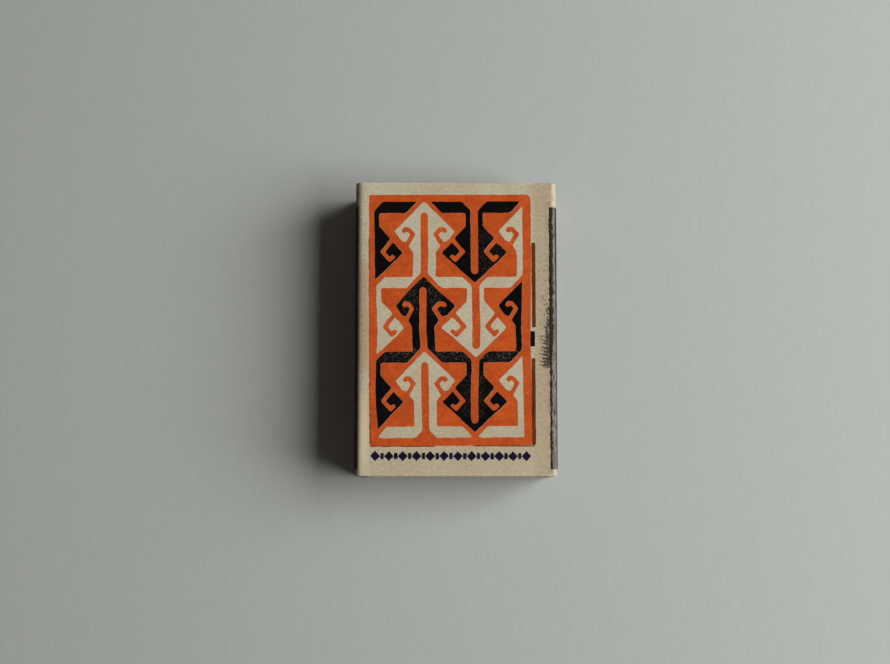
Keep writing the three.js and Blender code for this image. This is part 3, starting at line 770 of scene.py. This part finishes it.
def make_striker(name, node, side):
    low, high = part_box(node)
    face = max(abs(low.x), abs(high.x)) - 2 * STRIP_INSET
    lap_end = min(abs(low.x), abs(high.x))
    fold_end = HALF_WIDTH - FOLD_RADIUS
    thickness = face - HALF_WIDTH + STRIP_INSET
    top = HEIGHT + thickness - STRIP_INSET
    corners = [
        Vector((side * face, low.z)),
        Vector((side * face, top)),
        Vector((side * lap_end, top)),
    ]
    section = folded_stations(corners, side, FOLD_RADIUS + thickness, STRIP_STEP)
    stations = spread(low.y, high.y, STRIP_STATIONS)
    points = []
    for y in stations:
        worn_share = min(0.92, max(0.0, lap_wear(y, side) / (fold_end - lap_end)))
        end_fade = min(1.0, min(y - low.y, high.y - y) / STRIP_END_FADE)
        foot_wear = STRIP_FOOT_WEAR * swell(0, y, 0, 1.6 * MM, 8 + side)
        outer = []
        inner = []
        for at, direction in section:
            x, z = at.x, at.y
            edge_fade = 1.0
            if side < 0 and z > HEIGHT / 2:
                ended = cut_back_lap(x, z, y, side, FOLD_RADIUS + thickness)
                if ended:
                    x, z, direction = ended
                    edge_fade = 0.3
            elif abs(x) < fold_end and z > HEIGHT / 2:
                beyond = (fold_end - abs(x)) / (fold_end - lap_end)
                x = side * (fold_end - beyond * (fold_end - lap_end) * (1 - worn_share))
                edge_fade = 1 - 0.75 * beyond**3
            if z < low.z + STRIP_FOOT:
                share = 1 - (z - low.z) / STRIP_FOOT
                z += foot_wear * share
                edge_fade = min(edge_fade, 1 - 0.6 * share**3)
            grit = STRIP_GRIT * (wave(x, y, z, 0.22 * MM, 7) - 0.6)
            cover = thickness * edge_fade * (0.35 + 0.65 * end_fade) + grit
            base = Vector((x, z)) + direction * thickness
            for depth, row in ((cover, outer), (0.0, inner)):
                here = base - direction * max(0.0, depth)
                settled_x, settled_z = settled(here.x, y, here.y, -direction)
                row.append((settled_x, y, settled_z))
        points += outer + inner[::-1]
    faces = grid_faces(len(stations), 2 * len(section))
    if side < 0:
        faces = [tuple(reversed(f)) for f in faces]
    piece = add_piece(name, points, faces, "sleeve", [node], [STRIKER_GRIT])
    sharpen(piece, 60)


# Printing

PANEL_CORNER = 0.9 * MM
BLACK_PARTS = ("top_left", "top_right", "lower")
PANEL_LOW, PANEL_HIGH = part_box("orange_print")


def split_sides(outline):
    """An outline with points at most a millimetre apart, in micrometres."""
    close = []
    for (ax, ay), (bx, by) in zip(outline, outline[1:] + outline[:1]):
        count = max(1, round(math.hypot(bx - ax, by - ay) / 1000))
        close += [(ax + (bx - ax) * k / count, ay + (by - ay) * k / count) for k in range(count)]
    return close


def strayed(x, y):
    """A printed place of the even layout, where the hand-cut blocks have put it."""
    rows = [np.interp(x / MM, SLIP_PLACES, row) for row in SLIPS]
    slip = np.interp(y / MM, SLIP_LEVELS, rows) * MM
    return x + slip, PANEL_HIGH.y + (y - PANEL_HIGH.y) * PRINT_STRETCH


def moved_print(x, y):
    """A place of the arrows' layout, strayed both across and along the box."""
    new_x, new_y = strayed(x, y)
    return new_x, new_y + np.interp(y / MM, RISE_LEVELS, RISES) * MM


def top_outlines(node):
    """Closed outlines of a printed node's upper face, as lists of (x, y)."""
    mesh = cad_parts[node].data
    upper = max(v.co.z for v in mesh.vertices) - TOUCHING
    key_of = {}
    for v in mesh.vertices:
        key_of[v.index] = (round(v.co.x / MICRON), round(v.co.y / MICRON))
    uses = {}
    for polygon in mesh.polygons:
        if any(mesh.vertices[i].co.z < upper for i in polygon.vertices):
            continue
        keys = [key_of[i] for i in polygon.vertices]
        for a, b in zip(keys, keys[1:] + keys[:1]):
            uses[(a, b)] = uses.get((a, b), 0) + 1
    follows = {}
    for a, b in uses:
        if (b, a) not in uses:
            follows.setdefault(a, []).append(b)
    outlines = []
    while follows:
        outline = []
        here = next(iter(follows))
        while here not in outline[:1]:
            outline.append(here)
            onward = follows[here].pop()
            if not follows[here]:
                del follows[here]
            here = onward
        places = [(x * MICRON, y * MICRON) for x, y in split_sides(outline)]
        outlines.append([moved_print(x, y) for x, y in places])
    return outlines


def ink_waver(x, y, salt):
    """How far an ink edge wavers at a place, in long and in fine waves."""
    coarse = INK_WOBBLE * wave(x, y, 0, 0.8 * MM, salt)
    return coarse + INK_FINE_WOBBLE * wave(x, y, 0, 0.25 * MM, salt + 1)


def wobbled(outline, shift=(0, 0), strength=1.0):
    """An outline in short steps, with the small waves of an ink edge."""
    steps = []
    for (ax, ay), (bx, by) in zip(outline, outline[1:] + outline[:1]):
        count = max(1, round(math.hypot(bx - ax, by - ay) / INK_STEP))
        for k in range(count):
            x = ax + (bx - ax) * k / count
            y = ay + (by - ay) * k / count
            dx = ink_waver(x, y, 11) * strength
            dy = ink_waver(x, y, 13) * strength
            steps.append((x + dx + shift[0], y + dy + shift[1]))
    for _ in range(INK_ROUNDING if len(steps) > 40 else 0):
        before = [steps[-1]] + steps[:-1]
        after = steps[1:] + steps[:1]
        steps = [
            tuple((p[axis] + 2 * q[axis] + r[axis]) / 4 for axis in (0, 1))
            for p, q, r in zip(before, steps, after)
        ]
    return steps


def crossings_inside(points, outlines):
    """Which points lie inside the outlines, by counting crossings on their right."""
    inside = np.zeros(len(points), bool)
    for outline in outlines:
        a = np.array(outline)
        b = np.roll(a, -1, axis=0)
        for first in range(0, len(points), 2000):
            px = points[first : first + 2000, 0][:, None]
            py = points[first : first + 2000, 1][:, None]
            spans = (a[:, 1] > py) != (b[:, 1] > py)
            rise = np.where(b[:, 1] == a[:, 1], 1, b[:, 1] - a[:, 1])
            at = a[:, 0] + (py - a[:, 1]) * (b[:, 0] - a[:, 0]) / rise
            inside[first : first + 2000] ^= (spans & (px < at)).sum(1) % 2 == 1
    return inside


def ink_layer(name, outlines, rise, nodes, material):
    """A thin closed layer of ink inside outlines, laid on the sleeve's settled top."""
    scale = 1 / MM
    loose = []
    edges = []
    for outline in outlines:
        first = len(loose)
        loose += outline
        size = len(outline)
        edges += [(first + i, first + (i + 1) % size) for i in range(size)]
    corners = np.array(loose)
    low, high = corners.min(0), corners.max(0)
    chance = random.Random(3)
    xs = np.arange(low[0], high[0], INK_CELL)
    ys = np.arange(low[1], high[1], INK_CELL)
    cells = [
        (x + chance.uniform(-0.2, 0.2) * INK_CELL, y + chance.uniform(-0.2, 0.2) * INK_CELL)
        for x in xs
        for y in ys
    ]
    if cells:
        kept = crossings_inside(np.array(cells), outlines)
        loose += [c for c, keep in zip(cells, kept) if keep]
    flat = [Vector((x * scale, y * scale)) for x, y in loose]
    vertices, _, triangles, _, _, _ = delaunay_2d_cdt(flat, edges, [], 0, 1e-5)
    spots = np.array([(v.x, v.y) for v in vertices]) / scale
    middles = np.array([spots[list(t)].mean(0) for t in triangles])
    inside = crossings_inside(middles, outlines)
    used = [tuple(t) for t, keep in zip(triangles, inside) if keep]
    ids = sorted({i for t in used for i in t})
    new_id = {old: k for k, old in enumerate(ids)}
    count = len(ids)
    points = []
    for level in (rise, -INK_DEPTH):
        for old in ids:
            x, y = spots[old]
            points.append((x, y, HEIGHT - top_sink(x, y) + level))
    faces = []
    border = {}
    for t in used:
        a, b, c = (new_id[i] for i in t)
        faces.append((a, b, c))
        faces.append((count + c, count + b, count + a))
        for pair in ((a, b), (b, c), (c, a)):
            border[pair] = True
    for a, b in border:
        if (b, a) not in border:
            faces.append((b, a, count + a, count + b))
    piece = add_piece(name, points, faces, "sleeve", nodes, [material])
    sharpen(piece, 40)


def rounded_corner(outline, corner, radius):
    """An outline with its upper right corner drawn in onto an arc."""
    centre = (corner[0] - radius, corner[1] - radius)
    rounded = []
    for x, y in outline:
        dx, dy = x - centre[0], y - centre[1]
        reach = math.hypot(dx, dy)
        if dx > 0 and dy > 0 and reach > radius:
            x = centre[0] + dx * radius / reach
            y = centre[1] + dy * radius / reach
        rounded.append((x, y))
    return rounded


def rectangle(x0, y0, x1, y1):
    return [(x0, y0), (x1, y0), (x1, y1), (x0, y1)]


ORANGE_INK = ink_material("orange_ink", srgb(202, 88, 36), srgb(184, 75, 30), 0.015, 0.75)
BLACK_INK = ink_material(
    "black_ink", srgb(14, 12, 14), srgb(9, 8, 9), 0.04, 0.8, WORN_INK, WORN_BLACK
)
BROWN_INK = ink_material("brown_ink", srgb(112, 56, 26), srgb(92, 44, 20), 0.04, 0.8)
NAVY_INK = ink_material("navy_ink", srgb(26, 24, 52), srgb(20, 18, 38), 0.02, 0.75)
MARK_INK = ink_material("mark_ink", srgb(20, 16, 24), srgb(12, 10, 15), 0.0, 0.75)


def make_panel():
    """The orange sheet, with no holes under the black, and the black islands over it.
    Returns the orange outlines and the place of the panel's upper right corner."""
    black_parts = {part: top_outlines(f"black_print_{part}") for part in BLACK_PARTS}
    overprinted = [set(o) for outlines in black_parts.values() for o in outlines]
    bare = [o for o in top_outlines("orange_print") if set(o) not in overprinted]
    orange = [wobbled(o) for o in bare]
    corner_x = max(x for outline in orange for x, y in outline if y > PANEL_HIGH.y - MM)
    corner_y = max(y for outline in orange for x, y in outline if x > corner_x - 2 * MM)
    orange = [rounded_corner(o, (corner_x, corner_y), PANEL_CORNER) for o in orange]
    ink_layer("print_orange", orange, ORANGE_RISE, ["orange_print"], ORANGE_INK)
    for part, outlines in black_parts.items():
        node = f"black_print_{part}"
        black = [wobbled(o, BLACK_SHIFT) for o in outlines]
        ink_layer(f"print_black_{part}", black, BLACK_RISE, [node], BLACK_INK)
    return orange, corner_x


def make_rules_and_mark():
    for part in ("upper", "lower"):
        node = f"brown_rule_{part}"
        low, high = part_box(node)
        x_high, y_high = strayed(high.x, high.y)
        rule = rectangle(x_high - RULE_WIDTH, strayed(0, low.y)[1], x_high, y_high)
        rule = [wobbled(rule, strength=0.8)]
        ink_layer(f"print_rule_{part}", rule, ORANGE_RISE, [node], BROWN_INK)
    low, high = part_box("navy_mark")
    right = strayed(high.x, high.y)[0] + MARK_SHIFT
    foot = low.y - 3 * MARK_GROWTH
    mark = rectangle(right - MARK_WIDTH, foot, right, high.y - MARK_GROWTH)
    mark = [wobbled(mark, strength=0.6)]
    ink_layer("print_mark", mark, BLACK_RISE, ["navy_mark"], MARK_INK)


def make_foot_rules(orange, right):
    """Thin brown lines under the panel and up the lower part of its left side."""
    panel_points = [p for o in orange for p in o]
    left_top = min(panel_points, key=lambda p: p[0] - p[1])
    left_foot = min(panel_points, key=lambda p: p[0] + p[1])
    foot_y = left_foot[1] - THIN_LINE
    right_y = foot_y + RIGHT_FOOT_RISE
    line_top = left_top[1] - LEFT_LINE_DROP
    outlines = [
        rectangle(left_foot[0] - THIN_LINE, foot_y, LEFT_FOOT_END, foot_y + THIN_LINE),
        rectangle(RIGHT_FOOT_START, right_y, right + RIGHT_FOOT_OVER, right_y + THIN_LINE),
        [
            (left_foot[0] - THIN_LINE, foot_y + 2 * THIN_LINE),
            (left_foot[0], foot_y + 2 * THIN_LINE),
            (left_top[0] + LEFT_LINE_EDGES[1], line_top),
            (left_top[0] + LEFT_LINE_EDGES[0], line_top),
        ],
    ]
    foot = [wobbled(o, strength=1.3) for o in outlines]
    ink_layer("print_foot_rules", foot, ORANGE_RISE, [], BROWN_INK)


def make_ornament_row():
    """Lozenges with short bars between them, in a row under the panel."""
    start = (PANEL_LOW.x + PANEL_HIGH.x) / 2 - LOZENGE_PITCH * (LOZENGES - 1) / 2
    y = ROW_PLACE
    h = LOZENGE_HALF
    bar_low = y - BAR_HEIGHT / 2
    bar_high = y + BAR_HEIGHT / 2
    shapes = []
    for i in range(LOZENGES):
        x = start + i * LOZENGE_PITCH
        shapes.append([(x - h, y), (x, y - h), (x + h, y), (x, y + h)])
        if i < LOZENGES - 1:
            mid = x + LOZENGE_PITCH / 2
            shapes.append(rectangle(mid - BAR_HALF, bar_low, mid + BAR_HALF, bar_high))
    ornament = [wobbled(o) for o in shapes]
    ink_layer("print_ornament_row", ornament, ORANGE_RISE, [], NAVY_INK)


def make_print():
    orange, right = make_panel()
    make_rules_and_mark()
    make_foot_rules(orange, right)
    make_ornament_row()


# Tray, from a copy of its CAD mesh cut into small cells


def make_tray():
    mesh = bmesh.new()
    mesh.from_mesh(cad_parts["tray"].data)
    bmesh.ops.remove_doubles(mesh, verts=mesh.verts, dist=MICRON)
    bmesh.ops.dissolve_limit(
        mesh, angle_limit=math.radians(1), verts=mesh.verts, edges=mesh.edges
    )
    low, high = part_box("tray")
    for axis, direction in ((0, (1, 0, 0)), (1, (0, 1, 0)), (2, (0, 0, 1))):
        count = math.ceil((high[axis] - low[axis]) / TRAY_CELL)
        for level in spread(low[axis], high[axis], count)[1:-1]:
            place = [0, 0, 0]
            place[axis] = level
            everything = list(mesh.verts) + list(mesh.edges) + list(mesh.faces)
            bmesh.ops.bisect_plane(mesh, geom=everything, plane_co=place, plane_no=direction)
    bmesh.ops.triangulate(mesh, faces=mesh.faces)
    bmesh.ops.recalc_face_normals(mesh, faces=mesh.faces)
    middle = (low + high) / 2
    for v in mesh.verts:
        x, y, z = v.co
        rise = max(0.0, (z - TRAY_FLOOR_ZONE) / (high.z - TRAY_FLOOR_ZONE))
        bow_x = SIDE_WALL_BOW * rise * (0.6 + 0.4 * wave(0, y, z, 9 * MM, 21))
        bow_y = END_WALL_BOW * rise * (0.6 + 0.4 * wave(x, 0, z, 9 * MM, 22))
        along = 1 - ((y - middle.y) / (high.y - middle.y)) ** 2
        across = 1 - ((x - middle.x) / (high.x - middle.x)) ** 2
        v.co.x -= math.copysign(bow_x * along, x - middle.x)
        v.co.y -= math.copysign(bow_y * across, y - middle.y)
        if z > high.z - RIM_ZONE:
            v.co.z -= RIM_WEAR * swell(x, y, 0, 0.8 * MM, 23)
    bmesh.ops.recalc_face_normals(mesh, faces=mesh.faces)
    data = bpy.data.meshes.new("tray_card_fold")
    mesh.to_mesh(data)
    mesh.free()
    data.materials.append(TRAY_CARD)
    data.materials.append(CARD_EDGE)
    for polygon in data.polygons:
        on_rim = polygon.normal.z > 0.8 and polygon.center.z > high.z - CUT_EDGE_ZONE
        polygon.material_index = 1 if on_rim else 0
    piece = place_piece("tray_card_fold", data, "tray", ["tray"])
    sharpen(piece, 40)


# Matches


def match_axes(node):
    """A splint's near end, its own X, Y and Z directions and its size, from its CAD box."""
    corners = {tuple(round(c, 7) for c in v.co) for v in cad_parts[node].data.vertices}
    corners = [Vector(c) for c in corners]
    corners.sort(key=lambda c: c.y)
    near, far = corners[:4], corners[4:]

    def middle(group):
        return sum(group, Vector()) / len(group)

    length = middle(far) - middle(near)
    near.sort(key=lambda c: c.x)
    across = middle(near[2:]) - middle(near[:2])
    x_axis = across.normalized()
    y_axis = length.normalized()
    return middle(near), x_axis, y_axis, x_axis.cross(y_axis), across.length, length.length


SQUARE = [(-1, -1), (1, -1), (1, 1), (-1, 1)]


def splint_ring(half, chamfer):
    """A splint's section: a square with flats at its corners and two points on each side."""
    ring = []
    for i, (sx, sz) in enumerate(SQUARE):
        after = SQUARE[(i + 1) % 4]
        steps = [(SQUARE[i - 1], chamfer / 2), (after, chamfer / 2)]
        steps += [(after, 0.3 * half), (after, 0.7 * half)]
        for (x, z), step in steps:
            ring.append((sx * half + (x - sx) * step, sz * half + (z - sz) * step))
    return ring


def capped_tube(rings, size, flipped=False):
    """Faces of a tube through rings, closed by fans to the two points after the rings."""
    faces = []
    top = (rings - 1) * size
    for first in range(0, top, size):
        for i in range(size):
            a = first + i
            b = first + (i + 1) % size
            faces.append((a, b, b + size, a + size))
    near = top + size
    for i in range(size):
        following = (i + 1) % size
        faces.append((near, following, i))
        faces.append((near + 1, top + i, top + following))
    if flipped:
        faces = [(f[0], *reversed(f[1:])) for f in faces]
    return faces


def make_splint(number, material):
    node = f"match_{number:02d}_splint"
    near, ax, ay, az, width, length = match_axes(node)
    half = width / 2
    ring = splint_ring(half, SPLINT_CHAMFER)
    stations = spread(0, length, SPLINT_STATIONS)
    points = []
    for along in stations:
        blunt = SPLINT_BLUNTING if along in (0, length) else 0.0
        for rx, rz in ring:
            rough = SPLINT_ROUGHNESS * swell(rx * 3, along * 0.12, rz * 3, 0.5 * MM, number)
            size = 1 - (rough + blunt) / half
            saw = SAW_DEPTH * swell(rx, 0, rz, 0.7 * MM, number + 40)
            reach = along + saw if along == 0 else along
            points.append(near + ax * rx * size + ay * reach + az * rz * size)
    points.append(near + ay * SAW_HOLLOW)
    points.append(near + ay * length)
    faces = capped_tube(len(stations), len(ring))
    name = f"splint_{number:02d}"
    piece = add_piece(name, points, faces, "tray", [node], [material])
    sharpen(piece, 35)


def make_head(number, material):
    splint = f"match_{number:02d}_splint"
    node = f"match_{number:02d}_head"
    near, ax, ay, az, _, length = match_axes(splint)
    start = near + ay * (length - SPLINT_IN_HEAD)
    profile_shares, profile_widths = zip(*HEAD_PROFILE)
    shares = spread(0, 1, HEAD_STEPS)
    points = []
    for share in shares:
        along = share * HEAD_LENGTH
        half = HEAD_WIDTH / 2 * float(np.interp(share, profile_shares, profile_widths))
        power = 0.5 + 0.3 * (1 - share)
        for k in range(HEAD_AROUND):
            angle = 2 * math.pi * k / HEAD_AROUND
            c = math.cos(angle)
            s = math.sin(angle)
            square = (abs(c) ** (2 / power) + abs(s) ** (2 / power)) ** (-power / 2)
            reach = half * min(1.08, square) * HEAD_FILL
            grain = HEAD_GRAIN * wave(c * reach, along, s * reach, 0.22 * MM, number)
            lump = HEAD_LUMPS * wave(c * reach, along, s * reach, 1.2 * MM, number + 30)
            reach += grain + lump - HEAD_LUMPS
            level = along
            if share == 0:
                level += HEAD_FOOT_WAVES * swell(c, 0, s, 0.9, number + 60)
            points.append(start + ax * c * reach + ay * level + az * s * reach)
    points.append(start + ay * HEAD_FOOT_HOLLOW)
    points.append(start + ay * (HEAD_LENGTH - HEAD_TIP_DIP))
    faces = capped_tube(len(shares), HEAD_AROUND, flipped=True)
    name = f"head_{number:02d}"
    add_piece(name, points, faces, "tray", [node], [material])


def make_matches():
    woods = [wood_material(seed) for seed in range(4)]
    paste = paste_material()
    count = sum(1 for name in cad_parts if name.endswith("_splint"))
    for number in range(1, count + 1):
        make_splint(number, woods[number % len(woods)])
        make_head(number, paste)


# Stage, light and camera


def make_floor():
    mesh = bpy.data.meshes.new("floor")
    sides = rectangle(-FLOOR_REACH, -FLOOR_REACH, FLOOR_REACH, FLOOR_REACH)
    mesh.from_pydata([(x, y, 0) for x, y in sides], [], [(0, 1, 2, 3)])
    mesh.materials.append(floor_material())
    floor = bpy.data.objects.new("floor", mesh)
    bpy.context.scene.collection.objects.link(floor)


def make_light():
    turn = math.radians(LAMP_SIDE_ANGLE)
    rise = math.radians(LAMP_HEIGHT_ANGLE)
    toward = Vector(
        (math.cos(turn) * math.cos(rise), math.sin(turn) * math.cos(rise), math.sin(rise))
    )
    data = bpy.data.lights.new("window_lamp", "AREA")
    data.shape = "SQUARE"
    data.size = LAMP_SIZE
    data.energy = LAMP_LEVEL * math.pi**2 * LAMP_DISTANCE**2 / math.sin(rise)
    lamp = bpy.data.objects.new("window_lamp", data)
    lamp.location = toward * LAMP_DISTANCE
    lamp.rotation_euler = toward.to_track_quat("Z", "Y").to_euler()
    bpy.context.scene.collection.objects.link(lamp)
    world = bpy.data.worlds.new("soft_room")
    world.use_nodes = True
    background = world.node_tree.nodes["Background"]
    background.inputs["Color"].default_value = WORLD_COLOUR
    background.inputs["Strength"].default_value = WORLD_LEVEL
    bpy.context.scene.world = world


def make_camera():
    data = bpy.data.cameras.new("camera")
    data.sensor_width = SENSOR_WIDTH
    data.lens = CAMERA_LENS
    data.clip_start = 0.01
    data.clip_end = 20
    camera = bpy.data.objects.new("camera", data)
    camera.location = Vector(CAMERA_PLACE) * MM
    camera.rotation_euler = Euler([math.radians(a) for a in CAMERA_TURN], "XYZ")
    bpy.context.scene.collection.objects.link(camera)
    bpy.context.scene.camera = camera


make_camera()
make_light()
make_floor()
make_sleeve()
make_striker("striker_strip_left", "striker_left", -1)
make_striker("striker_strip_right", "striker_right", 1)
make_print()
make_tray()
make_matches()
bpy.context.scene.view_settings.view_transform = "Standard"
